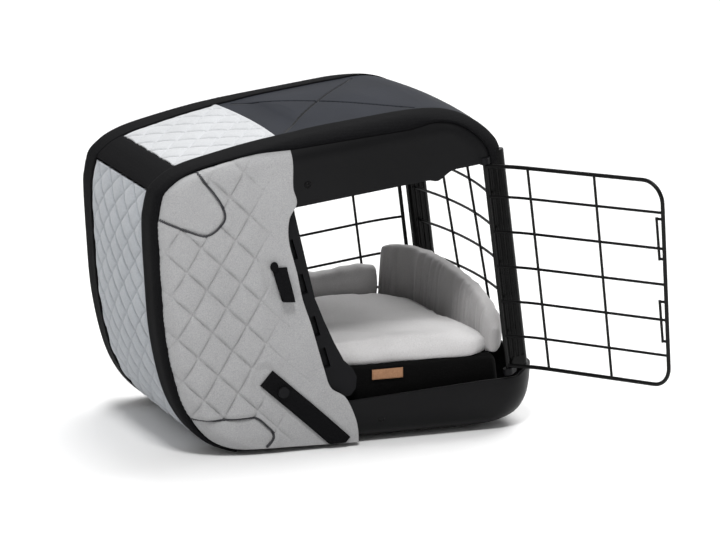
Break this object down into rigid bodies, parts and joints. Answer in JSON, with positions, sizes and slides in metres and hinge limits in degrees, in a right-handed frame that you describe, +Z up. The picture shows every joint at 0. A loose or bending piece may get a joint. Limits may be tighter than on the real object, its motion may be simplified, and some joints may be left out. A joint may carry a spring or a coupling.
{
  "type": "pet travel crate",
  "caption": "Car-seat pet crate with hinged wire side doors, bowed wire front grille, moulded tray and roof, quilted rear hood and a padded bed.",
  "frame": {"origin": "centre of the flat underside, on the surface it stands on", "axes": "+X towards the wire front grille, +Y to the crate's left, +Z up"},
  "size_m": [0.5768, 0.577, 0.4088],
  "materials": {
    "shell_plastic": "fine satin texture",
    "roof_plastic": "satin slate",
    "frame_plastic": "matt",
    "post_plastic": "gloss black",
    "wire": "black powder coat",
    "skid_rubber": "matt",
    "quilt_grey": "quilted light grey melange",
    "quilt_rear": "quilted cool light grey",
    "quilt_white": "quilted off-white",
    "webbing": "woven black band",
    "bed_black": "black woven",
    "bed_grey": "soft grey twill",
    "leather": "tan, blank"
  },
  "bodies": {
    "cabin": {"tray": "shell_plastic", "roof_shell": "shell_plastic", "hinge_lug_upper_right": "shell_plastic", "hinge_lug_lower_right": "shell_plastic", "hinge_lug_upper_left": "shell_plastic", "hinge_lug_lower_left": "shell_plastic", "roof_panel": "roof_plastic", "hood_frame": "frame_plastic", "rear_pillar_right": "frame_plastic", "rear_pillar_left": "frame_plastic", "strap_button_right": "frame_plastic", "strap_button_left": "frame_plastic", "front_post_right": "post_plastic", "front_post_left": "post_plastic", "front_grille": "wire", "skid_right": "skid_rubber", "skid_centre": "skid_rubber", "skid_left": "skid_rubber", "bumper_pads": "skid_rubber", "cover_side_right": "quilt_grey", "cover_side_left": "quilt_grey", "cover_rear": "quilt_rear", "cover_top": "quilt_white", "cross_band": "webbing", "band_right": "webbing", "band_left": "webbing", "pull_tab_right": "webbing", "pull_tab_left": "webbing", "belt_strap_right": "webbing", "belt_strap_left": "webbing", "bed_base": "bed_black", "bed_cushion": "bed_grey", "bolster_front": "bed_grey", "bolster_side": "bed_grey", "bed_label": "leather"},
    "door_right": {"door_right": "wire"},
    "door_left": {"door_left": "wire"}
  },
  "joints": [
    {"name": "right_door_hinge", "type": "hinge", "parent": "cabin", "child": "door_right", "pos_m": [0.21842, -0.163, 0.04507], "axis": [-0.1253, 0, 0.9921], "range_deg": [-117, 20]},
    {"name": "left_door_hinge", "type": "hinge", "parent": "cabin", "child": "door_left", "pos_m": [0.21842, 0.163, 0.04507], "axis": [-0.1253, 0, 0.9921], "range_deg": [-137, 0]}
  ]
}
